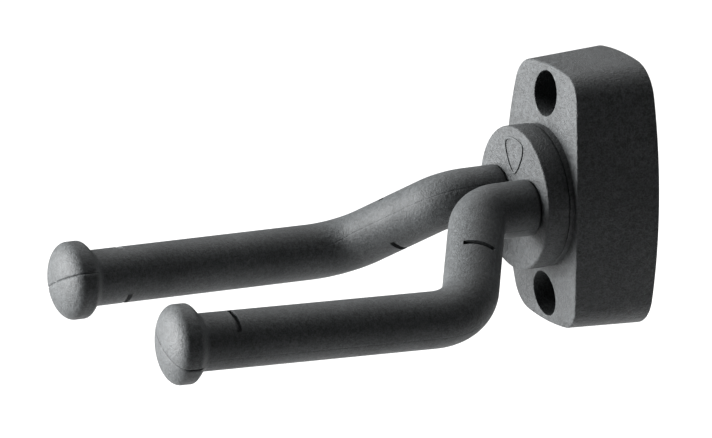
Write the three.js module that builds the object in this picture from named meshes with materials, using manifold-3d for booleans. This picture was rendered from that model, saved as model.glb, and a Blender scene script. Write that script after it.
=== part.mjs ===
// Wall-mounted guitar hanger with a swivelling yoke, in millimetres.
// +Z is up, the wall is the plane y = 0, and the hanger stands out from it towards -Y.
// The origin is the centre of the wall face, on the swivel axis. Depths are distances from the wall.

import * as THREE from 'three';
import { mergeVertices } from 'three/addons/utils/BufferGeometryUtils.js';
import Module from 'manifold-3d';

const wasm = await Module();
wasm.setup();

// ---------------------------------------------------------------- driving dimensions

const GAP = 0.3;                     // clearance left between neighbouring pieces
const AROUND = 24;                   // facets round a turned piece

// Housing. An outline is { w, h: half sizes, side, top: radii of the bowed edges, corner: radius }.
const FRONT_OUTLINE = { w: 21.4, h: 37.9, side: 143, top: 81, corner: 8.5 };
const BACK_OUTLINE = { w: 23.5, h: 39.3, side: 131, top: 82, corner: 11.4 };
const HOUSING_DEPTH = 25.7;          // wall to the crown of the front face
const FACE_BOW = 325;                // radius of the front face, bowed from top to bottom
const FACE_EDGE = 0.45;              // rounding where the front face meets the sides
const WALL = 2.6;
const FRONT_WALL = 3.2;
const CAVITY_DEPTH = HOUSING_DEPTH - FRONT_WALL;
const OUTLINE_STEPS = 15;            // columns in each quarter of the outline
const FACE_RINGS = 4;                // rings that follow the bow of the front face
const RIB = 2.2;
const RIB_START = 2.5;               // ribs stop this far short of the wall

// Wall screws.
const SCREW_Z = 29.5;                // height of each screw above or below the centre
const RECESS_R = 6.5;                // room for the head and the driver
const SCREW_R = 3.1;                 // clearance for the shank
const SEAT_DEPTH = 5;                // floor that the head clamps
const TUBE_R = RECESS_R + 2;

// Swivel joint.
const COLLAR_R = 20.4;
const COLLAR_DEPTH = HOUSING_DEPTH + 1.5;
const HUB_R = 9.6;
const HUB_BACK = 14;
const BUSH_R = 6.6;
const FLANGE_R = 8.6;
const FLANGE = 1.6;
const JOURNAL_R = 4.5;
const JOURNAL_CLEARANCE = 0.08;
const GLIDE_IN = 14.4;
const GLIDE_OUT = 18.2;
const GLIDE_THICK = 1.4;
const STOP_R = 1.5;                  // stop pin
const STOP_ORBIT = 11.6;             // its distance from the swivel axis
const STOP_ANGLE = THREE.MathUtils.degToRad(30);
const STOP_DEPTH = COLLAR_DEPTH - 5;

// Disc that carries the arms.
const DISC_R = 20.7;
const DISC_BACK = COLLAR_DEPTH + GAP;
const DISC_FRONT = 34.4;
const DISC_EDGE = 0.6;
const DISC_WALL = 2;
const PLATE_R = DISC_R - 2.4;
const PLATE_BACK = DISC_BACK + 0.2;
const PLATE_FRONT = DISC_FRONT - DISC_WALL - GAP;
const EMBLEM_Z = 12.6;
const EMBLEM_SIZE = 5.6;
const EMBLEM_LINE = 0.8;
const EMBLEM_RELIEF = 0.35;

// Arms. Each one lies in a plane through its root that drops away from the level.
const ARM_X = 9.6;
const ARM_Z = -0.4;
const ARM_DROP = THREE.MathUtils.degToRad(33.4);
const ROOT_TO_BEND = 10.4;           // straight from the disc to the first bend
const BEND_OUT = THREE.MathUtils.degToRad(62.5);
const BEND_OUT_R = 9.8;
const SPREAD = 24;                   // straight between the bends
const BEND_BACK = THREE.MathUtils.degToRad(65.7);
const BEND_BACK_R = 16.4;
const FINGER = 73.8;                 // straight from the second bend to the end stop
const SLEEVE_R = 8;
const ROD_R = 5;
const BORE_R = ROD_R + GAP;
const SLEEVE_EDGE = 0.8;
const STOP_RIM_R = 11.1;             // end stop: flare, rim and dome
const FLARE = 4;
const RIM = 2.6;
const DOME = 4.8;
const BEND_STEPS = 7;

// Mould support slots in the sleeves.
const SLOT_WIDTH = 1.4;
const SLOT_DEPTH = 1.6;
const SLOT_HALF_ANGLE = THREE.MathUtils.degToRad(35);
const SLOT_TWIST = THREE.MathUtils.degToRad(9);   // the outer pair sits turned round the sleeve
const SLOT_FROM_RIM = 12.8;
const SLOT_PAST_MIDDLE = 1.2;        // the inner pair sits a little past the middle of the spread

// Root fixing of a rod: a flat-sided tongue in the plate, held by a countersunk screw.
const TONGUE = 2;
const TONGUE_HALF = 3.4;
const ROD_SCREW_R = 2.4;
const ROD_SCREW_HEAD_R = 4.4;
const ROD_SCREW_HEAD = 2;
const ROD_SCREW_LENGTH = 14;

// Pivot stud, washers and nut behind the hub.
const STUD_FRONT_R = 2.9;
const STUD_BACK_R = 3.9;
const STUD_END = 1.6;
const WAVE_IN = 5.2;
const WAVE_OUT = 8.8;
const WAVE_THICK = 0.5;
const WAVE_HEIGHT = 0.45;
const WAVES = 3;
const WASHER_R = 11;
const WASHER_THICK = 1.8;
const HUB_WASHER_THICK = 0.8;
const NUT_ACROSS = 13;
const NUT_HEIGHT = 6.2;
const NYLON_R = 5.4;
const NYLON_HEIGHT = 1.8;

// ---------------------------------------------------------------- materials

const material = (color, roughness, metalness) =>
  new THREE.MeshStandardMaterial({ color, roughness, metalness });
const HOUSING_PLASTIC = material(0x26282a, 0.7, 0);
const DISC_PLASTIC = material(0x26282a, 0.68, 0);
const SLEEVE_RUBBER = material(0x2b2e30, 0.8, 0);
const STEEL = material(0x9a9c9e, 0.35, 1);
const ZINC = material(0xb4b6b4, 0.4, 1);
const ACETAL = material(0xe6e4dc, 0.5, 0);
const NYLON = material(0x2c5ea8, 0.5, 0);

// ---------------------------------------------------------------- solids

// A mesh as a closed solid: only position is kept, and shared vertices are merged.
function solid(geometry, matrix) {
  const bare = new THREE.BufferGeometry();
  bare.setAttribute('position', geometry.getAttribute('position').clone());
  if (geometry.index) bare.setIndex(geometry.index.clone());
  if (matrix) bare.applyMatrix4(matrix);
  const merged = mergeVertices(bare, 1e-4);
  return new wasm.Manifold(new wasm.Mesh({
    numProp: 3,
    vertProperties: merged.attributes.position.array,
    triVerts: new Uint32Array(merged.index.array),
  }));
}

function geometryOf(manifold) {
  const mesh = manifold.getMesh();
  const positions = new THREE.BufferAttribute(new Float32Array(mesh.vertProperties), mesh.numProp);
  const geometry = new THREE.BufferGeometry().setAttribute('position', positions);
  geometry.setIndex(new THREE.BufferAttribute(new Uint32Array(mesh.triVerts), 1));
  geometry.computeVertexNormals();
  return geometry;
}

const minus = (body, ...cuts) => cuts.reduce((left, cut) => left.subtract(cut), body);
const plus = (body, ...others) => others.reduce((sum, other) => sum.add(other), body);

// Turned about the Y axis. The profile lists [radius, depth] from the front outwards and back.
function turned(profile, facets = AROUND) {
  const points = profile.map(([radius, depth]) => new THREE.Vector2(radius, -depth));
  return new THREE.LatheGeometry(points, facets);
}

const moved = (x, z, y = 0) => new THREE.Matrix4().makeTranslation(x, y, z);

// A round bar along Y between two depths, centred on x, z.
function bar(radius, front, back, x = 0, z = 0, facets = AROUND) {
  const profile = [[0, front], [radius, front], [radius, back], [0, back]];
  return solid(turned(profile, facets), moved(x, z));
}

function ringProfile(inner, outer, front, back) {
  return [[inner, front], [outer, front], [outer, back], [inner, back], [inner, front]];
}

const ring = (inner, outer, front, back) => solid(turned(ringProfile(inner, outer, front, back)));

function block(width, front, back, low, high) {
  const box = new THREE.BoxGeometry(width, front - back, high - low);
  return solid(box, moved(0, (low + high) / 2, -(front + back) / 2));
}

// ---------------------------------------------------------------- housing

// A point on each column of a rounded outline with bowed edges, once round from the top.
function outlinePoints({ w, h, side, top, corner }) {
  const sideCentre = new THREE.Vector2(w - side, 0);
  const topCentre = new THREE.Vector2(0, h - top);
  const a = side - corner;
  const b = top - corner;
  const apart = topCentre.distanceTo(sideCentre);
  const along = (a * a - b * b + apart * apart) / (2 * apart);
  const across = Math.sqrt(a * a - along * along);
  const towards = topCentre.clone().sub(sideCentre).divideScalar(apart);
  const cornerCentre = sideCentre.clone().addScaledVector(towards, along)
    .add(new THREE.Vector2(-towards.y, towards.x).multiplyScalar(across));
  const topEnd = cornerCentre.clone().sub(topCentre).angle();
  const sideEnd = cornerCentre.clone().sub(sideCentre).angle();
  const quarter = new THREE.Path();
  quarter.absarc(topCentre.x, topCentre.y, top, Math.PI / 2, topEnd, true);
  quarter.absarc(cornerCentre.x, cornerCentre.y, corner, topEnd, sideEnd, true);
  quarter.absarc(sideCentre.x, sideCentre.y, side, sideEnd, 0, true);
  const right = quarter.getSpacedPoints(OUTLINE_STEPS);
  const flip = (x, z) => ({ x: px, y: pz }) => new THREE.Vector2(px * x, pz * z);
  return [
    ...right.slice(0, -1),
    ...right.map(flip(1, -1)).reverse().slice(0, -1),
    ...right.map(flip(-1, -1)).slice(0, -1),
    ...right.map(flip(-1, 1)).reverse().slice(0, -1),
  ];
}

const mix = (a, b, t) => a + (b - a) * t;

// The outline at a share of the way from front (0) to wall (1), drawn in by an inset.
function outlineAt(share, inset) {
  const reach = (key, sign) => mix(FRONT_OUTLINE[key], BACK_OUTLINE[key], share) - sign * inset;
  return outlinePoints({
    w: reach('w', 1), h: reach('h', 1), side: reach('side', 1),
    top: reach('top', 1), corner: Math.max(reach('corner', 1), 1),
  });
}

const faceDepth = (crown, z) => crown - (z * z) / (2 * FACE_BOW);

// A lathe whose columns are pulled out to rings of outline points. Each ring is
// { points, scale, depth }, where depth is a function of the height z.
function drawnBody(rings) {
  const columns = rings[0].points.length;
  const profile = rings.map((_, i) => new THREE.Vector2(i ? 1 : 0, i));
  profile.push(new THREE.Vector2(0, rings.length));
  const geometry = new THREE.LatheGeometry(profile, columns);
  const position = geometry.getAttribute('position');
  for (let c = 0; c <= columns; c++) {
    for (let j = 0; j < profile.length; j++) {
      const { points, scale, depth } = rings[Math.min(j, rings.length - 1)];
      const closing = j === profile.length - 1 ? 0 : scale;
      const point = points[c % columns];
      const x = point.x * closing;
      const z = point.y * closing;
      position.setXYZ(c * profile.length + j, x, -depth(z), z);
    }
  }
  return solid(geometry);
}

// The outer skin or, with an inset, the hollow behind it.
function housingBody(inset, crown, edge, back) {
  const share = (depth) => 1 - depth / HOUSING_DEPTH;
  const rings = [];
  const face = outlineAt(0, inset + edge);
  for (let i = 0; i <= FACE_RINGS; i++) {
    rings.push({ points: face, scale: i / FACE_RINGS, depth: (z) => faceDepth(crown, z) });
  }
  for (const angle of [30, 60, 90].map(THREE.MathUtils.degToRad)) {
    const drop = edge * (1 - Math.cos(angle));
    const points = outlineAt(share(crown - drop), inset + edge * (1 - Math.sin(angle)));
    rings.push({ points, scale: 1, depth: (z) => faceDepth(crown, z) - drop });
  }
  rings.push({ points: outlineAt(share(back), inset), scale: 1, depth: () => back });
  return drawnBody(rings);
}

// An arc-shaped pocket about the swivel axis, below it.
function arcPocket(orbit, half, angle, front, back) {
  const shape = new THREE.Shape();
  const start = -Math.PI / 2 - angle;
  const end = -Math.PI / 2 + angle;
  shape.absarc(0, 0, orbit + half, start, end, false);
  shape.absarc(0, 0, orbit - half, end, start, true);
  const geometry = new THREE.ExtrudeGeometry(shape, {
    depth: front - back, bevelEnabled: false, curveSegments: 14,
  });
  geometry.rotateX(Math.PI / 2);
  return solid(geometry, moved(0, 0, -back));
}

function screwTube(z) {
  return bar(TUBE_R, faceDepth(HOUSING_DEPTH, z) - 1, 0, 0, z);
}

function screwHole(z) {
  const recess = bar(RECESS_R, HOUSING_DEPTH + 2, SEAT_DEPTH, 0, z);
  return plus(recess, bar(SCREW_R, SEAT_DEPTH + 1, -1, 0, z));
}

function ribs() {
  const front = CAVITY_DEPTH + 1;
  const reachZ = SCREW_Z - TUBE_R + 1;
  const up = block(RIB, front, RIB_START, HUB_R - 1, reachZ);
  const down = block(RIB, front, RIB_START, -reachZ, 1 - HUB_R);
  const levels = [0, SCREW_Z, -SCREW_Z].map((z) => {
    const wide = FRONT_OUTLINE.w * 2 - (z ? 6 : 2);
    return block(wide, front, RIB_START, z - RIB / 2, z + RIB / 2);
  });
  return plus(up, down, ...levels);
}

function housing() {
  const skin = housingBody(0, HOUSING_DEPTH, FACE_EDGE, 0);
  const hollow = housingBody(WALL, CAVITY_DEPTH, FACE_EDGE, -1);
  const collar = bar(COLLAR_R, COLLAR_DEPTH, CAVITY_DEPTH + 1, 0, 0, 48);
  const hub = bar(HUB_R, COLLAR_DEPTH - 1, HUB_BACK);
  const nutRoom = bar(WASHER_R + 1, HUB_BACK, -1);
  const stiffening = minus(ribs(), nutRoom);
  const inside = plus(hub, stiffening, screwTube(SCREW_Z), screwTube(-SCREW_Z)).intersect(skin);
  const shell = plus(minus(skin, hollow), collar, inside);
  return minus(
    shell,
    screwHole(SCREW_Z),
    screwHole(-SCREW_Z),
    bar(BUSH_R + GAP, COLLAR_DEPTH + 1, HUB_BACK - 1),
    bar(FLANGE_R + GAP, COLLAR_DEPTH + 1, COLLAR_DEPTH - FLANGE - GAP),
    ring(GLIDE_IN - GAP, GLIDE_OUT + GAP, COLLAR_DEPTH + 1, COLLAR_DEPTH - GLIDE_THICK),
    stopPocket(),
  );
}

// The pin's radius takes up part of the pocket's angle at each end.
function stopPocket() {
  const half = STOP_R + GAP;
  const ends = STOP_ANGLE + half / STOP_ORBIT;
  return arcPocket(STOP_ORBIT, half, ends, COLLAR_DEPTH + 1, STOP_DEPTH - GAP);
}

// ---------------------------------------------------------------- swivel parts

function bush() {
  const front = COLLAR_DEPTH - GAP / 2;
  const step = COLLAR_DEPTH - FLANGE;
  const bore = JOURNAL_R + JOURNAL_CLEARANCE;
  return turned([
    [bore, front], [FLANGE_R, front], [FLANGE_R, step], [BUSH_R, step],
    [BUSH_R, HUB_BACK + GAP], [bore, HUB_BACK + GAP], [bore, front],
  ]);
}

const glideRing = () => {
  const back = COLLAR_DEPTH - GLIDE_THICK + GAP;
  return turned(ringProfile(GLIDE_IN, GLIDE_OUT, back + GLIDE_THICK, back), 48);
};

// A flat ring pressed into waves.
function waveWasher(front) {
  const geometry = turned(ringProfile(WAVE_IN, WAVE_OUT, front, front - WAVE_THICK), 36);
  const position = geometry.getAttribute('position');
  for (let i = 0; i < position.count; i++) {
    const angle = Math.atan2(position.getX(i), position.getZ(i));
    const lift = WAVE_HEIGHT * (1 - Math.cos(WAVES * angle));
    position.setY(i, position.getY(i) + lift);
  }
  return geometry;
}

function pivotStud() {
  const shoulder = PLATE_BACK - GAP;
  const neck = HUB_BACK - 0.2;
  return turned([
    [0, PLATE_FRONT - 0.4], [STUD_FRONT_R, PLATE_FRONT - 0.4], [STUD_FRONT_R, shoulder],
    [JOURNAL_R, shoulder], [JOURNAL_R, neck], [STUD_BACK_R, neck],
    [STUD_BACK_R, STUD_END + 0.6], [STUD_BACK_R - 0.6, STUD_END], [0, STUD_END],
  ]);
}

// A hexagonal nut with a round pocket for its locking ring at the back.
function lockNut(front) {
  const radius = NUT_ACROSS / 2 / Math.cos(Math.PI / 6);
  const hex = new THREE.CylinderGeometry(radius, radius, NUT_HEIGHT, 6);
  const back = front - NUT_HEIGHT;
  const dome = solid(turned([
    [0, front], [radius - 0.5, front], [radius + 0.1, front - 0.8],
    [radius + 0.1, back + 1.4], [NYLON_R + 0.6, back], [0, back],
  ], 36));
  return minus(
    solid(hex, moved(0, 0, -(front + back) / 2)).intersect(dome),
    bar(STUD_BACK_R + GAP, front + 1, back - 1),
    bar(NYLON_R, back + NYLON_HEIGHT, back - 1),
  );
}

const nylonRing = (back) =>
  turned(ringProfile(STUD_BACK_R + GAP, NYLON_R - GAP, back + NYLON_HEIGHT - GAP, back));

// ---------------------------------------------------------------- disc

// A plectrum outline, point down, drawn about its own middle.
function plectrum(size) {
  const shape = new THREE.Shape();
  shape.moveTo(0, -size);
  shape.bezierCurveTo(size * 0.35, -size, size * 1.15, size * 0.2, size * 0.95, size * 0.65);
  shape.bezierCurveTo(size * 0.75, size, -size * 0.75, size, -size * 0.95, size * 0.65);
  shape.bezierCurveTo(-size * 1.15, size * 0.2, -size * 0.35, -size, 0, -size);
  return shape;
}

function emblem() {
  const outer = plectrum(EMBLEM_SIZE);
  outer.holes.push(plectrum(EMBLEM_SIZE - EMBLEM_LINE));
  const sunk = 0.4;
  const geometry = new THREE.ExtrudeGeometry(outer, {
    depth: EMBLEM_RELIEF + sunk, bevelEnabled: false, curveSegments: 10,
  });
  geometry.rotateX(Math.PI / 2);
  return solid(geometry, moved(0, EMBLEM_Z, -(DISC_FRONT - sunk)));
}

function disc() {
  const inner = DISC_R - 2.1;
  const edge = [0, 30, 60, 90].map(THREE.MathUtils.degToRad).map((angle) => [
    DISC_R - DISC_EDGE * (1 - Math.sin(angle)),
    DISC_FRONT - DISC_EDGE * (1 - Math.cos(angle)),
  ]);
  const cup = turned([
    [0, DISC_FRONT], ...edge, [DISC_R, DISC_BACK + 0.4], [DISC_R - 0.4, DISC_BACK],
    [inner, DISC_BACK], [inner, DISC_FRONT - DISC_WALL], [0, DISC_FRONT - DISC_WALL],
  ], 48);
  const holes = [1, -1].map((side) =>
    bar(BORE_R, DISC_FRONT + 1, DISC_BACK, side * ARM_X, ARM_Z));
  return minus(plus(solid(cup), emblem()), ...holes);
}

// The tongue's slot runs across the drop of its own arm.
function tongueSlot(side, half) {
  const depth = TONGUE + GAP + 1;
  const round = bar(BORE_R, PLATE_FRONT + 1, PLATE_FRONT + 1 - depth, side * ARM_X, ARM_Z);
  const box = new THREE.BoxGeometry(half * 2, depth + 2, 4 * BORE_R);
  box.rotateY(side * ARM_DROP);
  const middle = -(PLATE_FRONT + 1 - depth / 2);
  return round.intersect(solid(box, moved(side * ARM_X, ARM_Z, middle)));
}

const screwCone = (extra) => [
  [0, PLATE_BACK + ROD_SCREW_LENGTH],
  [ROD_SCREW_R + extra, PLATE_BACK + ROD_SCREW_LENGTH],
  [ROD_SCREW_R + extra, PLATE_BACK + ROD_SCREW_HEAD],
  [ROD_SCREW_HEAD_R + extra, PLATE_BACK + 0.3],
  [ROD_SCREW_HEAD_R + extra, PLATE_BACK + (extra ? -1 : 0.1)],
  [0, PLATE_BACK + (extra ? -1 : 0.1)],
];

const screwAt = (side, extra) => solid(turned(screwCone(extra), 16), moved(side * ARM_X, ARM_Z));

function plate() {
  const edge = 0.5;
  const round = solid(turned([
    [0, PLATE_FRONT], [PLATE_R - edge, PLATE_FRONT], [PLATE_R, PLATE_FRONT - edge],
    [PLATE_R, PLATE_BACK + edge], [PLATE_R - edge, PLATE_BACK], [0, PLATE_BACK],
  ], 48));
  return minus(
    round,
    bar(STUD_FRONT_R + GAP, PLATE_FRONT + 1, PLATE_BACK - 1),
    bar(STOP_R + GAP / 2, PLATE_FRONT + 1, PLATE_BACK - 1, 0, -STOP_ORBIT, 16),
    ...[1, -1].flatMap((side) => [tongueSlot(side, TONGUE_HALF + GAP), screwAt(side, GAP)]),
  );
}

const hexKey = (side) => {
  const key = new THREE.CylinderGeometry(1.7, 1.7, 3, 6);
  return solid(key, moved(side * ARM_X, ARM_Z, -PLATE_BACK));
};

const rodScrew = (side) => minus(screwAt(side, 0), hexKey(side));

const stopPin = () => {
  const front = PLATE_FRONT - 0.3;
  return turned([
    [0, front], [STOP_R - 0.3, front], [STOP_R, front - 0.3],
    [STOP_R, STOP_DEPTH + 0.3], [STOP_R - 0.3, STOP_DEPTH], [0, STOP_DEPTH],
  ], 16);
};

// ---------------------------------------------------------------- arms

// The arm's centreline in its own plane: x outwards, y towards -Y, starting at its root.
const PIECES = [
  { length: ROOT_TO_BEND, turn: 0 },
  { length: BEND_OUT * BEND_OUT_R, turn: BEND_OUT },
  { length: SPREAD, turn: 0 },
  { length: BEND_BACK * BEND_BACK_R, turn: -BEND_BACK },
  { length: FINGER, turn: 0 },
];
const RUN = PIECES.map(({ length }) => length);
const REACH = RUN.reduce((sum, length) => sum + length, 0);

// The point and the heading at a distance along the centreline. Both ends run on straight.
function along(distance) {
  const point = new THREE.Vector2(0, 0);
  let heading = 0;
  let left = distance;
  for (const [i, { length, turn }] of PIECES.entries()) {
    const last = i === PIECES.length - 1;
    const step = last || left < length ? left : length;
    if (turn && step > 0) {
      const radius = length / turn;
      const next = heading + (turn * step) / length;
      point.x += radius * (Math.cos(heading) - Math.cos(next));
      point.y += radius * (Math.sin(next) - Math.sin(heading));
      heading = next;
    } else {
      point.x += Math.sin(heading) * step;
      point.y += Math.cos(heading) * step;
    }
    left -= step;
    if (left <= 0) break;
  }
  return { point, heading };
}

// The frame there: columns are the inward side, the tangent and the plane's normal.
function frameAt(distance) {
  const { point, heading } = along(distance);
  const tangent = new THREE.Vector3(Math.sin(heading), -Math.cos(heading), 0);
  const normal = new THREE.Vector3(0, 0, 1);
  const inward = new THREE.Vector3().crossVectors(tangent, normal);
  return new THREE.Matrix4().makeBasis(inward, tangent, normal).setPosition(point.x, -point.y, 0);
}

// Distances at which a swept piece needs a ring: the ends of each straight, and steps in a bend.
const STATIONS = PIECES.flatMap(({ length, turn }, i) => {
  const start = RUN.slice(0, i).reduce((sum, step) => sum + step, 0);
  const steps = turn ? BEND_STEPS : 1;
  return Array.from({ length: steps }, (_, k) => start + (length * k) / steps);
});

// A lathe with a profile of [radius, distance along the arm], bent along the centreline.
function bent(profile, facets) {
  const points = profile.map(([radius, distance]) => new THREE.Vector2(radius, distance));
  const geometry = new THREE.LatheGeometry(points, facets);
  const position = geometry.getAttribute('position');
  const point = new THREE.Vector3();
  for (let i = 0; i < position.count; i++) {
    point.fromBufferAttribute(position, i);
    const frame = frameAt(point.y);
    point.setY(0).applyMatrix4(frame);
    position.setXYZ(i, point.x, point.y, point.z);
  }
  return geometry;
}

// Groove across one face of the sleeve, for a pin that held the rod in the mould.
function slot(distance, side, twist) {
  const shape = new THREE.Shape();
  const middle = (side * Math.PI) / 2 + twist;
  const [start, end] = [middle - SLOT_HALF_ANGLE, middle + SLOT_HALF_ANGLE];
  shape.absarc(0, 0, SLEEVE_R + 1, start, end, false);
  shape.absarc(0, 0, SLEEVE_R - SLOT_DEPTH, end, start, true);
  const geometry = new THREE.ExtrudeGeometry(shape, {
    depth: SLOT_WIDTH, bevelEnabled: false, curveSegments: 8,
  });
  geometry.translate(0, 0, -SLOT_WIDTH / 2);
  // The shape's x goes to the outward side, its y to the plane's normal, its depth to the tangent.
  geometry.applyMatrix4(new THREE.Matrix4().makeBasis(
    new THREE.Vector3(-1, 0, 0), new THREE.Vector3(0, 0, 1), new THREE.Vector3(0, 1, 0),
  ));
  return solid(geometry, frameAt(distance));
}

function sleeve(side) {
  const outer = STATIONS.filter((distance) => distance > SLEEVE_EDGE);
  const bore = [...STATIONS].reverse();
  const boreEnd = REACH + 1;
  const edge = [30, 60, 90].map(THREE.MathUtils.degToRad).map((angle) => [
    SLEEVE_R - SLEEVE_EDGE * (1 - Math.sin(angle)), SLEEVE_EDGE * (1 - Math.cos(angle)),
  ]);
  const flare = [0, 0.25, 0.5, 0.75, 1].map((t) => [
    mix(SLEEVE_R, STOP_RIM_R, t * t * (3 - 2 * t)), REACH - FLARE + FLARE * t,
  ]);
  const dome = [0, 15, 30, 45, 60, 75].map(THREE.MathUtils.degToRad).map((angle) => [
    STOP_RIM_R * Math.cos(angle), REACH + RIM + DOME * Math.sin(angle),
  ]);
  const skin = bent([
    [0, boreEnd], [BORE_R, boreEnd], ...bore.map((distance) => [BORE_R, distance]),
    [SLEEVE_R - SLEEVE_EDGE, 0], ...edge, ...outer.map((distance) => [SLEEVE_R, distance]),
    ...flare, ...dome, [0, REACH + RIM + DOME],
  ], AROUND);
  const inner = ROOT_TO_BEND + BEND_OUT * BEND_OUT_R + SPREAD / 2 + SLOT_PAST_MIDDLE;
  const slots = [1, -1].flatMap((face) => [
    slot(inner, face, 0), slot(REACH - SLOT_FROM_RIM, face, side * SLOT_TWIST),
  ]);
  return minus(solid(skin), ...slots);
}

// The rod ends in a flat-sided tongue behind the disc's face, tapped for its screw.
function rod(rootGap) {
  const root = -(rootGap + DISC_FRONT - PLATE_FRONT);
  const end = REACH - 0.5;
  const body = solid(bent([
    [0, root], ...[root, ...STATIONS].map((distance) => [ROD_R, distance]),
    [ROD_R, end - 1], [ROD_R - 1, end], [0, end],
  ], 16));
  const tongue = new THREE.BoxGeometry(TONGUE_HALF * 2, TONGUE + 1, 4 * ROD_R);
  const stub = solid(tongue, moved(0, 0, -(root - TONGUE / 2 + 0.5)));
  const round = bar(ROD_R, root + 1, root - TONGUE, 0, 0, 16);
  const tapped = bar(ROD_SCREW_R + GAP, root - TONGUE + ROD_SCREW_LENGTH, root - TONGUE - 1, 0, 0, 16);
  return minus(plus(body, round.intersect(stub)), tapped);
}

// ---------------------------------------------------------------- assembly

const hanger = new THREE.Group();

function piece(parent, name, shape, finish) {
  const geometry = shape instanceof THREE.BufferGeometry ? shape : geometryOf(shape);
  const mesh = new THREE.Mesh(geometry, finish);
  mesh.name = name;
  parent.add(mesh);
  return mesh;
}

piece(hanger, 'housing', housing(), HOUSING_PLASTIC);
piece(hanger, 'pivot_bush', bush(), ACETAL);
piece(hanger, 'glide_ring', glideRing(), ACETAL);
const hubWasherBack = HUB_BACK - GAP - HUB_WASHER_THICK;
const hubWasher = ringProfile(WAVE_IN, HUB_R - GAP, HUB_BACK - GAP, hubWasherBack);
piece(hanger, 'hub_washer', turned(hubWasher), STEEL);
const waveFront = hubWasherBack - GAP;
piece(hanger, 'wave_washer', waveWasher(waveFront), STEEL);

const yoke = new THREE.Group();
hanger.add(yoke);
piece(yoke, 'swivel_disc', disc(), DISC_PLASTIC);
piece(yoke, 'yoke_plate', plate(), STEEL);
piece(yoke, 'stop_pin', stopPin(), STEEL).position.z = -STOP_ORBIT;
piece(yoke, 'pivot_stud', pivotStud(), ZINC);
const washerFront = waveFront - WAVE_THICK - 2 * WAVE_HEIGHT - GAP;
const washerBack = washerFront - WASHER_THICK;
const washer = ringProfile(STUD_BACK_R + GAP, WASHER_R, washerFront, washerBack);
piece(yoke, 'retaining_washer', turned(washer, 40), ZINC);
const nutFront = washerBack - GAP;
piece(yoke, 'lock_nut', lockNut(nutFront), ZINC);
piece(yoke, 'nut_locking_ring', nylonRing(nutFront - NUT_HEIGHT + GAP), NYLON);

const ROOT_GAP = GAP;
for (const [name, side] of [['right', 1], ['left', -1]]) {
  piece(yoke, `${name}_rod_screw`, rodScrew(side), ZINC);
  const arm = new THREE.Group();
  arm.position.set(side * ARM_X, -(DISC_FRONT + ROOT_GAP), ARM_Z);
  arm.rotation.y = side > 0 ? ARM_DROP : Math.PI - ARM_DROP;
  yoke.add(arm);
  piece(arm, `${name}_arm_rod`, rod(ROOT_GAP), STEEL);
  piece(arm, `${name}_arm_sleeve`, sleeve(side), SLEEVE_RUBBER);
}

export default hanger;
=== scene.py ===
import math

import bmesh
import bpy
import numpy as np
from mathutils import Matrix, Vector


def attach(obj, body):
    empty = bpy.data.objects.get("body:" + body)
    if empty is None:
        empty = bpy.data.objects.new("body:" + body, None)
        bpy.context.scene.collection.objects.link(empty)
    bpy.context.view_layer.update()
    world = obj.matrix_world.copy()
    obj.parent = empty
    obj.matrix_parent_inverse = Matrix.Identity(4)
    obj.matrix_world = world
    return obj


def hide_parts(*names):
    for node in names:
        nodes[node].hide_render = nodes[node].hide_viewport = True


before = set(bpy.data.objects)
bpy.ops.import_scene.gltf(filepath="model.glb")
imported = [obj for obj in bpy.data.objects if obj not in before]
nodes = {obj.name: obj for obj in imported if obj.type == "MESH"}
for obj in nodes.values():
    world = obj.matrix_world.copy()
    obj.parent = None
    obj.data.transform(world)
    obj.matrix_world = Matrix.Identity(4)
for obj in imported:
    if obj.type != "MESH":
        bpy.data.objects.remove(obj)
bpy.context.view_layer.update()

MM = 0.001

# ------------------------------------------------------------------ camera

CAM_AZ, CAM_EL, CAM_ROLL = 63.4214, 15.3023, -0.1997
CAM_LENS = 5813.99 * 36.0 / 712.0
CAM_TARGET = Vector((384.17, -276.80, 117.62)) * MM
CAM_DISTANCE = 1187.27 * MM


def make_camera():
    a, e = math.radians(CAM_AZ), math.radians(CAM_EL)
    back = Vector((math.sin(a) * math.cos(e), -math.cos(a) * math.cos(e), math.sin(e)))
    right = Vector((math.cos(a), math.sin(a), 0.0))
    up = back.cross(right)
    turn = math.radians(CAM_ROLL)
    right, up = (right * math.cos(turn) + up * math.sin(turn),
                 up * math.cos(turn) - right * math.sin(turn))
    data = bpy.data.cameras.new("camera")
    data.sensor_width = 36.0
    data.lens = CAM_LENS
    data.clip_start, data.clip_end = 0.05, 60.0
    cam = bpy.data.objects.new("camera", data)
    m = Matrix((right, up, back)).transposed().to_4x4()
    m.translation = CAM_TARGET + back * CAM_DISTANCE
    cam.matrix_world = m
    bpy.context.scene.collection.objects.link(cam)
    bpy.context.scene.camera = cam


make_camera()

# ------------------------------------------------------------------ dimensions, as in the CAD, in mm

FRONT_OUTLINE = dict(w=21.4, h=37.9, side=143.0, top=81.0, corner=8.5)
BACK_OUTLINE = dict(w=23.5, h=39.3, side=131.0, top=82.0, corner=11.4)
HOUSING_DEPTH = 25.7
FACE_BOW = 325.0
FACE_EDGE = 0.45
WALL = 2.6
CAVITY_DEPTH = HOUSING_DEPTH - 3.2
SCREW_Z = 29.5
RECESS_R = 6.5
SCREW_R = 3.1
SEAT_DEPTH = 5.0
TUBE_R = 8.5
COLLAR_R = 20.4
COLLAR_DEPTH = 27.2
HUB_R = 9.6
HUB_BACK = 14.0
BUSH_R = 6.6
FLANGE_R = 8.6
FLANGE = 1.6
GLIDE_IN, GLIDE_OUT, GLIDE_THICK = 14.4, 18.2, 1.4
STOP_R, STOP_ORBIT, STOP_ANGLE = 1.5, 11.6, math.radians(30)
STOP_DEPTH = COLLAR_DEPTH - 5.0
GAP = 0.3
RIB = 2.2
RIB_START = 2.5
DISC_R, DISC_BACK, DISC_FRONT = 20.7, COLLAR_DEPTH + GAP, 34.4
DISC_WALL = 2.0
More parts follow.
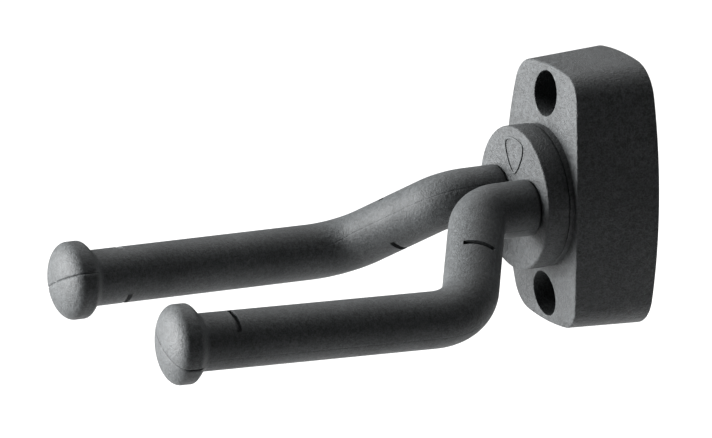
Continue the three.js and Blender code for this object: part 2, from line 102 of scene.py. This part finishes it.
EMBLEM_Z, EMBLEM_SIZE = 12.6, 5.6
ARM_X, ARM_Z = 9.6, -0.4
ARM_DROP = math.radians(33.4)
ROOT_TO_BEND, SPREAD, FINGER = 10.4, 24.0, 73.8
BEND_OUT, BEND_OUT_R = math.radians(62.5), 9.8
BEND_BACK, BEND_BACK_R = math.radians(65.7), 16.4
SLEEVE_R, BORE_R = 8.0, 5.3
STOP_RIM_R, FLARE, RIM, DOME = 11.1, 4.0, 2.6, 4.8
SLOT_WIDTH, SLOT_DEPTH, SLOT_HALF = 1.4, 1.6, math.radians(35)
SLOT_TWIST = math.radians(9)
SLOT_FROM_RIM, SLOT_PAST_MIDDLE = 12.8, 1.2
LINE_DEPTH, LINE_WIDTH = 0.07, 0.14          # parting line along the arm
CAP_LINE_DEPTH, CAP_LINE_WIDTH = 0.32, 0.22  # and across the end cap
WASHER_R = 11.0

# ------------------------------------------------------------------ mesh helpers


def new_object(name, verts, faces, smooth=True):
    mesh = bpy.data.meshes.new(name)
    mesh.from_pydata([tuple(v) for v in np.asarray(verts, float) * MM], [], faces)
    mesh.validate()
    mesh.update()
    obj = bpy.data.objects.new(name, mesh)
    bpy.context.scene.collection.objects.link(obj)
    if smooth:
        mesh.polygons.foreach_set("use_smooth", [True] * len(mesh.polygons))
    return obj


def sharpen(obj, degrees):
    """Marks edges sharper than an angle, so that smooth shading stops at them."""
    bm = bmesh.new()
    bm.from_mesh(obj.data)
    limit = math.radians(degrees)
    for e in bm.edges:
        if len(e.link_faces) == 2:
            e.smooth = e.calc_face_angle(0.0) < limit
    bm.to_mesh(obj.data)
    bm.free()


def grid_faces(rows, cols, wrap=True):
    faces = []
    last = cols if wrap else cols - 1
    for i in range(rows - 1):
        for j in range(last):
            k = (j + 1) % cols
            faces.append((i * cols + j, i * cols + k, (i + 1) * cols + k, (i + 1) * cols + j))
    return faces


def lathe(profile, facets=128):
    """Turned about the Y axis: profile is [radius, depth], from the front outwards and back. Closed."""
    profile = [tuple(p) for p in profile]
    ring = profile[0] == profile[-1]
    pts = profile[:-1] if ring else profile
    t = np.linspace(0, 2 * math.pi, facets, endpoint=False)
    verts, rows = [], []
    for r, d in pts:
        if r < 1e-6:
            rows.append([len(verts)])
            verts.append((0, -d, 0))
        else:
            rows.append(list(range(len(verts), len(verts) + facets)))
            verts += [(r * math.sin(a), -d, r * math.cos(a)) for a in t]
    faces = []
    pairs = list(zip(rows, rows[1:])) + ([(rows[-1], rows[0])] if ring else [])
    for a, b in pairs:
        for j in range(facets):
            k = (j + 1) % facets
            if len(a) == 1:
                faces.append((a[0], b[k], b[j]))
            elif len(b) == 1:
                faces.append((a[j], a[k], b[0]))
            else:
                faces.append((a[j], a[k], b[k], b[j]))
    return verts, faces


def arc(r_centre, d_centre, radius, start, end, steps=6):
    """Profile points on an arc; angles in degrees, 0 outwards and 90 towards the wall."""
    out = []
    for a in np.linspace(math.radians(start), math.radians(end), steps + 1):
        out.append((r_centre + radius * math.cos(a), d_centre - radius * math.sin(a)))
    return out


def evaluated(obj):
    dg = bpy.context.evaluated_depsgraph_get()
    mesh = bpy.data.meshes.new_from_object(obj.evaluated_get(dg))
    obj.modifiers.clear()
    old = obj.data
    obj.data = mesh
    bpy.data.meshes.remove(old)
    return obj


def boolean(obj, other, operation):
    m = obj.modifiers.new("cut", "BOOLEAN")
    m.operation = operation
    m.solver = "MANIFOLD"
    m.object = other
    evaluated(obj)
    bpy.data.objects.remove(other)
    return obj


def bar(radius, front, back, x=0.0, z=0.0, facets=96):
    v, f = lathe([(0, front), (radius, front), (radius, back), (0, back)], facets)
    return new_object("tool", np.array(v) + (x, 0, z), f)


def ring_tool(inner, outer, front, back):
    section = [(inner, front), (outer, front), (outer, back), (inner, back), (inner, front)]
    return new_object("tool", *lathe(section, 128))


def block(width, front, back, low, high):
    x, y0, y1 = width / 2, -front, -back
    v = [(sx * x, y, z) for z in (low, high) for y in (y0, y1) for sx in (-1, 1)]
    f = [(0, 2, 3, 1), (4, 5, 7, 6), (0, 1, 5, 4), (2, 6, 7, 3), (0, 4, 6, 2), (1, 3, 7, 5)]
    obj = new_object("tool", v, f)
    bm = bmesh.new()
    bm.from_mesh(obj.data)
    bmesh.ops.bevel(bm, geom=list(bm.edges), offset=0.35 * MM, segments=3, affect="EDGES", profile=0.5)
    bmesh.ops.recalc_face_normals(bm, faces=bm.faces)
    bm.to_mesh(obj.data)
    bm.free()
    return obj


def tube(radius, front, z):
    """A screw tube, its rear edge rounded where it meets the wall."""
    e = 0.4
    profile = [(0, front), (radius, front)] + arc(radius - e, e, e, 0, 90) + [(0, 0)]
    return outward(new_object("tool", np.array(lathe(profile, 128)[0]) + (0, 0, z), lathe(profile, 128)[1]))


def rounded_hole(radius, back, z, e=0.3, facets=160):
    """Cutter for a screw recess whose mouth is rounded into the bowed front face."""
    t = np.linspace(0, 2 * math.pi, facets, endpoint=False)
    rows = [(radius, None)]
    rows += [(radius + e - e * math.cos(a), e - e * math.sin(a)) for a in np.radians(np.linspace(0, 80, 8))]
    slope = math.radians(10)
    rows.append((rows[-1][0] + 2 * math.cos(slope), rows[-1][1] - 2 * math.sin(slope)))
    verts = []
    for r, drop in rows:
        for a in t:
            x, dz = r * math.sin(a), r * math.cos(a)
            depth = back if drop is None else face_depth(HOUSING_DEPTH, z + dz) - drop
            verts.append((x, -depth, z + dz))
    verts.append((0, -back, z))
    verts.append((0, -face_depth(HOUSING_DEPTH, z) - 1, z))
    faces = grid_faces(len(rows), facets)
    low, high = len(verts) - 2, len(verts) - 1
    last = (len(rows) - 1) * facets
    faces += [(low, (j + 1) % facets, j) for j in range(facets)]
    faces += [(high, last + j, last + (j + 1) % facets) for j in range(facets)]
    return outward(new_object("tool", verts, faces))


# ------------------------------------------------------------------ housing


def outline(share, inset, steps=48):
    f, b = FRONT_OUTLINE, BACK_OUTLINE
    val = {k: f[k] + (b[k] - f[k]) * share for k in f}
    w, h = val["w"] - inset, val["h"] - inset
    side, top, r = val["side"] - inset, val["top"] - inset, max(val["corner"] - inset, 1.0)
    cs, ct = np.array([w - side, 0.0]), np.array([0.0, h - top])
    a, b2 = side - r, top - r
    apart = np.linalg.norm(ct - cs)
    e = (ct - cs) / apart
    along = (a * a - b2 * b2 + apart * apart) / (2 * apart)
    across = math.sqrt(a * a - along * along)
    c = cs + e * along + np.array([-e[1], e[0]]) * across
    t_top = math.atan2(*(c - ct)[::-1])
    t_side = math.atan2(*(c - cs)[::-1])
    n1, n2 = steps // 4, steps // 3
    n3 = steps - n1 - n2
    q = [ct + top * np.array([math.cos(t), math.sin(t)])
         for t in np.linspace(math.pi / 2, t_top, n1, endpoint=False)]
    q += [c + r * np.array([math.cos(t), math.sin(t)])
          for t in np.linspace(t_top, t_side, n2, endpoint=False)]
    q += [cs + side * np.array([math.cos(t), math.sin(t)]) for t in np.linspace(t_side, 0, n3 + 1)]
    q = np.array(q)
    return np.concatenate([q[:-1], (q * [1, -1])[::-1][:-1], (q * [-1, -1])[:-1], (q * [-1, 1])[::-1][:-1]])


def face_depth(crown, z):
    return crown - z * z / (2 * FACE_BOW)


def housing_body(inset, crown, edge, back):
    def share(depth):
        return 1 - depth / HOUSING_DEPTH
    rings = []
    face = outline(0, inset + edge)
    for s in np.linspace(0.05, 1, 20):
        p = face * s
        rings.append(np.stack([p[:, 0], -face_depth(crown, p[:, 1]), p[:, 1]], 1))
    for a in np.radians(np.linspace(10, 90, 9)):
        drop = edge * (1 - math.cos(a))
        p = outline(share(crown - drop), inset + edge * (1 - math.sin(a)))
        rings.append(np.stack([p[:, 0], -(face_depth(crown, p[:, 1]) - drop), p[:, 1]], 1))
    top_y = rings[-1][:, 1]
    foot = 0.45 if back == 0 else 0.0
    for s in np.linspace(0, 1, 10)[1:]:
        depth = crown - edge + (back + foot - crown + edge) * s
        p = outline(share(depth), inset)
        y = top_y * (1 - s) - (back + foot) * s
        rings.append(np.stack([p[:, 0], y, p[:, 1]], 1))
    for a in np.radians([20, 40, 60, 80, 90]) if foot else []:
        p = outline(1.0, inset + foot * (1 - math.cos(a)))
        rings.append(np.stack([p[:, 0], np.full(len(p), -foot * (1 - math.sin(a))), p[:, 1]], 1))
    cols = len(rings[0])
    verts = np.concatenate(rings + [[(0, -crown, 0)], [(0, -back, 0)]])
    faces = grid_faces(len(rings), cols)
    a, b = len(verts) - 2, len(verts) - 1
    lastrow = (len(rings) - 1) * cols
    faces += [(a, (j + 1) % cols, j) for j in range(cols)]
    faces += [(b, lastrow + j, lastrow + (j + 1) % cols) for j in range(cols)]
    return new_object("housing_body", verts, [f[::-1] for f in faces])


def arc_pocket(orbit, half, angle, front, back, steps=48):
    t = np.linspace(-math.pi / 2 - angle, -math.pi / 2 + angle, steps)
    loop = [((orbit + half) * math.cos(a), (orbit + half) * math.sin(a)) for a in t]
    loop += [((orbit - half) * math.cos(a), (orbit - half) * math.sin(a)) for a in t[::-1]]
    n = len(loop)
    verts = [(x, -front, z) for x, z in loop] + [(x, -back, z) for x, z in loop]
    faces = [tuple(range(n)), tuple(range(2 * n - 1, n - 1, -1))]
    faces += [(j, n + j, n + (j + 1) % n, (j + 1) % n) for j in range(n)]
    return new_object("tool", verts, faces)


def outward(obj):
    """Turns all faces outwards."""
    bm = bmesh.new()
    bm.from_mesh(obj.data)
    bmesh.ops.recalc_face_normals(bm, faces=bm.faces)
    bm.to_mesh(obj.data)
    bm.free()
    return obj


def make_housing():
    front = CAVITY_DEPTH + 1
    reach = SCREW_Z - TUBE_R + 1
    ribs = block(RIB, front, RIB_START, HUB_R - 1, reach)
    boolean(ribs, block(RIB, front, RIB_START, -reach, 1 - HUB_R), "UNION")
    for z in (0.0, SCREW_Z, -SCREW_Z):
        wide = FRONT_OUTLINE["w"] * 2 - (6 if z else 2)
        boolean(ribs, block(wide, front, RIB_START, z - RIB / 2, z + RIB / 2), "UNION")
    boolean(ribs, bar(WASHER_R + 1, HUB_BACK, -1), "DIFFERENCE")
    boolean(ribs, bar(HUB_R, COLLAR_DEPTH - 1, HUB_BACK), "UNION")
    for z in (SCREW_Z, -SCREW_Z):
        boolean(ribs, tube(TUBE_R, face_depth(HOUSING_DEPTH, z) - 1, z), "UNION")
    boolean(ribs, outward(housing_body(0, HOUSING_DEPTH, FACE_EDGE, 0)), "INTERSECT")
    shell = outward(housing_body(0, HOUSING_DEPTH, FACE_EDGE, 0))
    boolean(shell, outward(housing_body(WALL, CAVITY_DEPTH, FACE_EDGE, -1)), "DIFFERENCE")
    boolean(shell, ribs, "UNION")
    e = 0.3
    top = [(COLLAR_R - e + e * math.sin(a), COLLAR_DEPTH - e + e * math.cos(a))
           for a in np.radians([0, 22, 45, 67, 90])]
    collar = lathe([(0, COLLAR_DEPTH)] + top + [(COLLAR_R, CAVITY_DEPTH + 1), (0, CAVITY_DEPTH + 1)], 224)
    boolean(shell, outward(new_object("tool", *collar)), "UNION")
    for z in (SCREW_Z, -SCREW_Z):
        boolean(shell, rounded_hole(RECESS_R, SEAT_DEPTH, z), "DIFFERENCE")
        boolean(shell, bar(SCREW_R, SEAT_DEPTH + 1, -1, 0, z), "DIFFERENCE")
    boolean(shell, bar(BUSH_R + GAP, COLLAR_DEPTH + 1, HUB_BACK - 1), "DIFFERENCE")
    boolean(shell, bar(FLANGE_R + GAP, COLLAR_DEPTH + 1, COLLAR_DEPTH - FLANGE - GAP), "DIFFERENCE")
    groove = ring_tool(GLIDE_IN - GAP, GLIDE_OUT + GAP, COLLAR_DEPTH + 1, COLLAR_DEPTH - GLIDE_THICK)
    boolean(shell, groove, "DIFFERENCE")
    half = STOP_R + GAP
    pocket = arc_pocket(STOP_ORBIT, half, STOP_ANGLE + half / STOP_ORBIT, COLLAR_DEPTH + 1, STOP_DEPTH - GAP)
    boolean(shell, outward(pocket), "DIFFERENCE")
    shell.name = shell.data.name = "housing_moulding"
    shell.data.polygons.foreach_set("use_smooth", [True] * len(shell.data.polygons))
    sharpen(shell, 32)
    return shell


# ------------------------------------------------------------------ arms

PIECES = [
    (ROOT_TO_BEND, 0.0), (BEND_OUT * BEND_OUT_R, BEND_OUT), (SPREAD, 0.0),
    (BEND_BACK * BEND_BACK_R, -BEND_BACK), (FINGER, 0.0),
]
REACH = sum(length for length, _ in PIECES)
END_OF_BEND = REACH - FINGER


def along(distance):
    """(outward, forward, heading) of the arm's centreline at a distance from its root."""
    x = y = heading = 0.0
    left = distance
    for i, (length, turn) in enumerate(PIECES):
        step = left if i == len(PIECES) - 1 or left < length else length
        if turn and step > 0:
            radius = length / turn
            nxt = heading + turn * step / length
            x += radius * (math.cos(heading) - math.cos(nxt))
            y += radius * (math.sin(nxt) - math.sin(heading))
            heading = nxt
        else:
            x += math.sin(heading) * step
            y += math.cos(heading) * step
        left -= step
        if left <= 0:
            break
    return x, y, heading


def smoothstep(t):
    t = min(max(t, 0.0), 1.0)
    return t * t * (3 - 2 * t)


def make_sleeve(side, name):
    out = np.array([side * math.cos(ARM_DROP), 0, -math.sin(ARM_DROP)])
    ahead = np.array([0, -1.0, 0])
    above = np.array([side * math.sin(ARM_DROP), 0, math.cos(ARM_DROP)])
    root = np.array([side * ARM_X, -(DISC_FRONT + GAP), ARM_Z])
    slots = [ROOT_TO_BEND + BEND_OUT * BEND_OUT_R + SPREAD / 2 + SLOT_PAST_MIDDLE, REACH - SLOT_FROM_RIM]
    # Columns: angle from the parting plane. Close together at the parting line and at slot ends.
    base = set(np.round(np.arange(0, 360, 3.75), 4))
    for c in (0, 180):
        base |= {round((c + s * d) % 360, 4) for s in (-1, 1) for d in (0, 0.7, 1.4, 2.2)}
    for c in (90, 270):
        for e in (-35, 35):
            base = {a for a in base if abs(a - (c + e)) > 1.4}
            base |= {c + e - 0.4, c + e + 0.4}
    angles = np.radians(sorted(base))
    # Rows: [radius, distance, kind]
    rows = []
    stations = set(np.round(np.arange(1.0, REACH - FLARE, 0.9), 4))
    for s in slots:
        for e in (-SLOT_WIDTH / 2, SLOT_WIDTH / 2):
            stations = {v for v in stations if abs(v - (s + e)) > 0.3}
            stations |= {s + e - 0.05, s + e + 0.05}
    edge = 0.8
    rows += [(SLEEVE_R - edge * (1 - math.sin(a)), edge * (1 - math.cos(a)))
             for a in np.radians(np.linspace(0, 90, 8))]
    rows += [(SLEEVE_R, s) for s in sorted(stations) if s < REACH - FLARE - 0.2]
    for t in np.linspace(0, 1, 15):
        rows.append((SLEEVE_R + (STOP_RIM_R - SLEEVE_R) * smoothstep(t), REACH - FLARE + FLARE * t))
    for t in np.linspace(0, 1, 7)[1:]:
        rows.append((STOP_RIM_R, REACH + RIM * t))
    n = 2.15
    for t in np.radians(np.linspace(0, 90, 26)[1:-1]):
        rows.append((STOP_RIM_R * math.cos(t) ** (2 / n), REACH + RIM + DOME * math.sin(t) ** (2 / n)))
    verts = []
    for r0, s in rows:
        x, y, h = along(s)
        centre = root + out * x + ahead * y
        inward = -(out * math.cos(h) - ahead * math.sin(h))
        twist = SLOT_TWIST * smoothstep((s - END_OF_BEND + 22) / 22)
        on_end = s > REACH - 1
        rise = min(max((s - REACH - RIM) / DOME, 0.0), 1.0)
        axis = out * math.sin(h) + ahead * math.cos(h)
        for a in angles:
            r = r0
            off = min(abs(a), abs(a - math.pi), abs(a - 2 * math.pi)) * r0
            depth, width = (CAP_LINE_DEPTH, CAP_LINE_WIDTH) if on_end else (LINE_DEPTH, LINE_WIDTH)
            cut = depth * math.exp(-(off / width) ** 2)
            r -= cut * math.sqrt(1 - rise * rise)
            for s0 in slots:
                if abs(s - s0) < SLOT_WIDTH / 2:
                    if min(abs(a - math.pi / 2), abs(a - 3 * math.pi / 2)) < SLOT_HALF:
                        r -= SLOT_DEPTH
            b = a + twist
            verts.append(centre + r * (-inward * math.cos(b) + above * math.sin(b)) - axis * cut * rise)
    cols = len(angles)
    faces = grid_faces(len(rows), cols)
    # Tip.
    x, y, h = along(REACH + RIM + DOME)
    tip = len(verts)
    verts.append(root + out * x + ahead * y - axis * CAP_LINE_DEPTH)
    last = (len(rows) - 1) * cols
    faces += [(last + j, last + (j + 1) % cols, tip) for j in range(cols)]
    # Root face and bore.
    bore_rows = [(BORE_R + 0.25, 0.0), (BORE_R, 0.25)]
    bore_rows += [(BORE_R, s) for s in np.linspace(1, REACH + 0.6, 60)]
    first = len(verts)
    for r, s in bore_rows:
        x, y, h = along(s)
        centre = root + out * x + ahead * y
        inward = -(out * math.cos(h) - ahead * math.sin(h))
        for a in angles:
            verts.append(centre + r * (-inward * math.cos(a) + above * math.sin(a)))
    for j in range(cols):
        k = (j + 1) % cols
        faces.append((j, first + j, first + k, k))
    faces += [tuple(first + i for i in f[::-1]) for f in grid_faces(len(bore_rows), cols)]
    end = first + (len(bore_rows) - 1) * cols
    faces.append(tuple(end + j for j in range(cols)))
    obj = new_object(name, verts, faces)
    outward(obj)
    sharpen(obj, 50)
    return obj


# ------------------------------------------------------------------ disc and emblem


def make_disc():
    e = 0.6
    profile = [(0, DISC_FRONT), (DISC_R - e - 3, DISC_FRONT)]
    profile += [(DISC_R - e + e * math.sin(a), DISC_FRONT - e + e * math.cos(a))
                for a in np.radians(np.linspace(0, 90, 9))]
    profile += [(DISC_R, DISC_BACK + 2.5), (DISC_R, DISC_BACK + 0.4)]
    profile += [(DISC_R - 0.4 + 0.4 * math.cos(a), DISC_BACK + 0.4 - 0.4 * math.sin(a))
                for a in np.radians([30, 60, 90])]
    inside = DISC_R - 2.1
    profile += [(inside, DISC_BACK), (inside, DISC_FRONT - DISC_WALL), (0, DISC_FRONT - DISC_WALL)]
    disc = outward(new_object("disc_moulding", *lathe(profile, 192)))
    for side in (1, -1):
        boolean(disc, outward(bar(BORE_R, DISC_FRONT + 1, DISC_BACK, side * ARM_X, ARM_Z)), "DIFFERENCE")
    disc.data.polygons.foreach_set("use_smooth", [True] * len(disc.data.polygons))
    sharpen(disc, 35)
    return disc


def bezier(p0, p1, p2, p3, n):
    t = np.linspace(0, 1, n, endpoint=False)[:, None]
    p0, p1, p2, p3 = map(np.array, (p0, p1, p2, p3))
    return (1 - t) ** 3 * p0 + 3 * t * (1 - t) ** 2 * p1 + 3 * t * t * (1 - t) * p2 + t ** 3 * p3


def plectrum(s, n=40):
    return np.concatenate([
        bezier((0, -s), (s * 0.35, -s), (s * 1.15, s * 0.2), (s * 0.95, s * 0.65), n),
        bezier((s * 0.95, s * 0.65), (s * 0.75, s), (-s * 0.75, s), (-s * 0.95, s * 0.65), n),
        bezier((-s * 0.95, s * 0.65), (-s * 1.15, s * 0.2), (-s * 0.35, -s), (0, -s), n),
    ])


def make_emblem():
    """A raised rim in the shape of a plectrum, with rounded shoulders."""
    section = [(0.0, -0.12), (0.0, 0.22), (0.04, 0.30), (0.12, 0.35),
               (0.68, 0.35), (0.76, 0.30), (0.8, 0.22), (0.8, -0.12)]
    loops = [(plectrum(EMBLEM_SIZE - inset), lift) for inset, lift in section]
    cols = len(loops[0][0])
    verts = [(x, -(DISC_FRONT + lift), z + EMBLEM_Z) for loop, lift in loops for x, z in loop]
    faces = grid_faces(len(loops), cols)
    n = len(loops) - 1
    faces += [(n * cols + j, n * cols + (j + 1) % cols, (j + 1) % cols, j) for j in range(cols)]
    obj = outward(new_object("disc_emblem", verts, faces))
    sharpen(obj, 50)
    return obj


# ------------------------------------------------------------------ materials


class Nodes:
    """Small helper to wire a material's nodes."""

    def __init__(self, name):
        self.material = bpy.data.materials.new(name)
        self.material.use_nodes = True
        self.tree = self.material.node_tree
        self.shader = self.tree.nodes["Principled BSDF"]
        self.coords = self.add("ShaderNodeTexCoord").outputs["Object"]

    def add(self, kind, **settings):
        node = self.tree.nodes.new(kind)
        for key, value in settings.items():
            setattr(node, key, value)
        return node

    def link(self, a, b):
        self.tree.links.new(a, b)

    def noise(self, scale, detail=3.0, rough=0.5, vector=None):
        n = self.add("ShaderNodeTexNoise")
        n.inputs["Scale"].default_value = scale
        n.inputs["Detail"].default_value = detail
        n.inputs["Roughness"].default_value = rough
        self.link(vector or self.coords, n.inputs["Vector"])
        return n.outputs["Fac"]

    def ramp(self, value, stops):
        r = self.add("ShaderNodeValToRGB")
        e = r.color_ramp.elements
        while len(e) < len(stops):
            e.new(0.5)
        for item, (pos, col) in zip(e, stops):
            item.position = pos
            item.color = (*col, 1.0) if len(col) == 3 else col
        self.link(value, r.inputs["Fac"])
        return r.outputs["Color"]

    def mapped(self, value, lo, hi, out_lo, out_hi):
        m = self.add("ShaderNodeMapRange")
        for key, v in (("From Min", lo), ("From Max", hi), ("To Min", out_lo), ("To Max", out_hi)):
            m.inputs[key].default_value = v
        self.link(value, m.inputs["Value"])
        return m.outputs["Result"]

    def mix(self, fac, a, b, blend="MIX"):
        m = self.add("ShaderNodeMix", data_type="RGBA", blend_type=blend)
        for key, v in ((0, fac), (6, a), (7, b)):
            if isinstance(v, bpy.types.NodeSocket):
                self.link(v, m.inputs[key])
            elif key == 0:
                m.inputs[key].default_value = v
            else:
                m.inputs[key].default_value = (*v, 1.0)
        return m.outputs[2]

    def math(self, op, a, b):
        m = self.add("ShaderNodeMath", operation=op)
        for i, v in enumerate((a, b)):
            if isinstance(v, bpy.types.NodeSocket):
                self.link(v, m.inputs[i])
            else:
                m.inputs[i].default_value = v
        return m.outputs[0]

    def bump(self, height, distance, strength=1.0, normal=None):
        b = self.add("ShaderNodeBump")
        b.inputs["Distance"].default_value = distance
        b.inputs["Strength"].default_value = strength
        self.link(height, b.inputs["Height"])
        if normal:
            self.link(normal, b.inputs["Normal"])
        return b.outputs["Normal"]

    def set(self, **values):
        for key, v in values.items():
            socket = self.shader.inputs[key.replace("_", " ")]
            if isinstance(v, bpy.types.NodeSocket):
                self.link(v, socket)
            elif isinstance(v, tuple):
                socket.default_value = (*v, 1.0)
            else:
                socket.default_value = v


def moulded(name, dark, light, grain, roughness, bump, worn):
    """Spark-eroded black plastic or rubber: speckled tone, fine pits, cloudy gloss, paler worn edges."""
    n = Nodes(name)
    fine = n.noise(grain, 2.0, 0.6)
    coarse = n.noise(grain * 0.37, 2.0, 0.5)
    clouds = n.noise(60.0, 3.0, 0.5)
    speck = n.math("ADD", n.math("MULTIPLY", fine, 0.65), n.math("MULTIPLY", coarse, 0.35))
    middle = tuple((a + b) / 2 for a, b in zip(dark, light))
    tone = n.ramp(speck, [(0.36, dark), (0.5, middle), (0.64, light)])
    tone = n.mix(n.mapped(clouds, 0.35, 0.65, 0.0, 0.16), tone, tuple(c * 0.6 for c in dark))
    geo = n.add("ShaderNodeNewGeometry")
    edge = n.mapped(geo.outputs["Pointiness"], 0.53, 0.62, 0.0, worn)
    tone = n.mix(edge, tone, tuple(min(1, c * 2.0) for c in light))
    rough = n.math("ADD", n.mapped(clouds, 0.3, 0.7, roughness - 0.05, roughness + 0.05),
                   n.mapped(fine, 0.3, 0.7, -0.05, 0.05))
    n.set(Base_Color=tone, Roughness=rough, Normal=n.bump(speck, bump, 1.0), Specular_IOR_Level=0.2)
    return n.material


def metal(name, colour, roughness, scale, bump):
    n = Nodes(name)
    stretch = n.add("ShaderNodeMapping")
    stretch.inputs["Scale"].default_value = (1.0, 6.0, 1.0)
    n.link(n.coords, stretch.inputs["Vector"])
    lines = n.noise(scale, 4.0, 0.6, stretch.outputs["Vector"])
    clouds = n.noise(140.0, 3.0, 0.5)
    tone = n.mix(n.mapped(clouds, 0.3, 0.7, 0.0, 0.35), colour, tuple(c * 0.72 for c in colour))
    geo = n.add("ShaderNodeNewGeometry")
    edge = n.mapped(geo.outputs["Pointiness"], 0.52, 0.6, 0.0, 0.4)
    tone = n.mix(edge, tone, tuple(min(1, c * 1.25) for c in colour))
    rough = n.math("ADD", n.mapped(clouds, 0.3, 0.7, roughness - 0.07, roughness + 0.08),
                   n.mapped(lines, 0.3, 0.7, -0.06, 0.06))
    n.set(Base_Color=tone, Metallic=1.0, Roughness=rough, Normal=n.bump(lines, bump, 0.5))
    return n.material


def polymer(name, colour, roughness):
    n = Nodes(name)
    clouds = n.noise(180.0, 3.0, 0.5)
    fine = n.noise(2600.0, 2.0, 0.5)
    tone = n.mix(n.mapped(clouds, 0.3, 0.7, 0.0, 0.25), colour, tuple(c * 0.86 for c in colour))
    rough = n.math("ADD", n.mapped(clouds, 0.3, 0.7, roughness - 0.06, roughness + 0.06),
                   n.mapped(fine, 0.3, 0.7, -0.03, 0.03))
    n.set(Base_Color=tone, Roughness=rough, Normal=n.bump(fine, 0.00001, 0.5))
    return n.material


PLASTIC_LOOK = dict(dark=(0.0042, 0.0048, 0.0051), light=(0.030, 0.0326, 0.0340),
                    grain=1900.0, roughness=0.62, bump=0.00046, worn=0.3)
RUBBER_LOOK = dict(dark=(0.0075, 0.0084, 0.0088), light=(0.034, 0.0369, 0.0385),
                   grain=2300.0, roughness=0.64, bump=0.00026, worn=0.2)
HOUSING_PLASTIC = moulded("housing_plastic", **PLASTIC_LOOK)
DISC_PLASTIC = moulded("disc_plastic", **PLASTIC_LOOK)
SLEEVE_RUBBER = moulded("sleeve_rubber", **RUBBER_LOOK)
STEEL = metal("steel", (0.50, 0.50, 0.51), 0.36, 900.0, 0.00002)
ZINC = metal("zinc_steel", (0.66, 0.68, 0.70), 0.30, 700.0, 0.00002)
ACETAL = polymer("acetal", (0.80, 0.79, 0.74), 0.38)
NYLON = polymer("nylon", (0.05, 0.15, 0.42), 0.40)


def finish_with(obj, mat):
    obj.data.materials.clear()
    obj.data.materials.append(mat)


def add_piece(obj, body, mat, slot, *replaced):
    finish_with(obj, mat)
    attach(obj, body)
    if replaced:
        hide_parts(*replaced)
    return obj


# ------------------------------------------------------------------ the object

add_piece(make_housing(), "base", HOUSING_PLASTIC, "housing_plastic", "housing")
add_piece(make_disc(), "yoke", DISC_PLASTIC, "disc_plastic", "swivel_disc")
add_piece(make_emblem(), "yoke", DISC_PLASTIC, "disc_plastic")
add_piece(make_sleeve(1, "right_sleeve_moulding"), "yoke", SLEEVE_RUBBER, "sleeve_rubber", "right_arm_sleeve")
add_piece(make_sleeve(-1, "left_sleeve_moulding"), "yoke", SLEEVE_RUBBER, "sleeve_rubber", "left_arm_sleeve")

for name, node in nodes.items():
    if name in ("yoke_plate", "stop_pin", "hub_washer", "wave_washer", "right_arm_rod", "left_arm_rod"):
        mat = STEEL
    elif name in ("pivot_bush", "glide_ring"):
        mat = ACETAL
    elif name == "nut_locking_ring":
        mat = NYLON
    elif name in ("pivot_stud", "retaining_washer", "lock_nut", "right_rod_screw", "left_rod_screw"):
        mat = ZINC
    elif name == "swivel_disc":
        mat = DISC_PLASTIC
    elif name == "housing":
        mat = HOUSING_PLASTIC
    else:
        mat = SLEEVE_RUBBER
    for s in node.material_slots:
        s.material = mat

# ------------------------------------------------------------------ floor and light, in m and W

FLOOR_HALF, FLOOR_Z = 14.0, -0.75
WORLD_STRENGTH = 0.04


def make_floor():
    mesh = bpy.data.meshes.new("floor")
    s, z = FLOOR_HALF, FLOOR_Z
    mesh.from_pydata([(-s, -s, z), (s, -s, z), (s, s, z), (-s, s, z)], [], [(0, 1, 2, 3)])
    floor = bpy.data.objects.new("floor", mesh)
    bpy.context.scene.collection.objects.link(floor)
    n = Nodes("floor_paint")
    n.set(Base_Color=(0.93, 0.93, 0.93), Roughness=0.9)
    mesh.materials.append(n.material)


def area(name, place, target, size, power, spread=180):
    data = bpy.data.lights.new(name, "AREA")
    data.shape = "RECTANGLE"
    data.size, data.size_y = size
    data.energy = power
    data.spread = math.radians(spread)
    obj = bpy.data.objects.new(name, data)
    obj.location = place
    obj.rotation_mode = "QUATERNION"
    obj.rotation_quaternion = (Vector(target) - Vector(place)).to_track_quat("-Z", "Y")
    bpy.context.scene.collection.objects.link(obj)


make_floor()
area("key", (-0.80, -1.75, 0.25), (0, -0.07, 0), (1.5, 1.5), 84.0, spread=70)
area("top", (-1.7, 0.8, 2.4), (-1.7, 0.8, 0), (4.0, 4.0), 230.0)
world = bpy.data.worlds.new("studio")
bpy.context.scene.world = world
world.use_nodes = True
world.node_tree.nodes["Background"].inputs["Color"].default_value = (1.0, 1.0, 1.0, 1.0)
world.node_tree.nodes["Background"].inputs["Strength"].default_value = WORLD_STRENGTH
bpy.context.scene.view_settings.view_transform = "Standard"
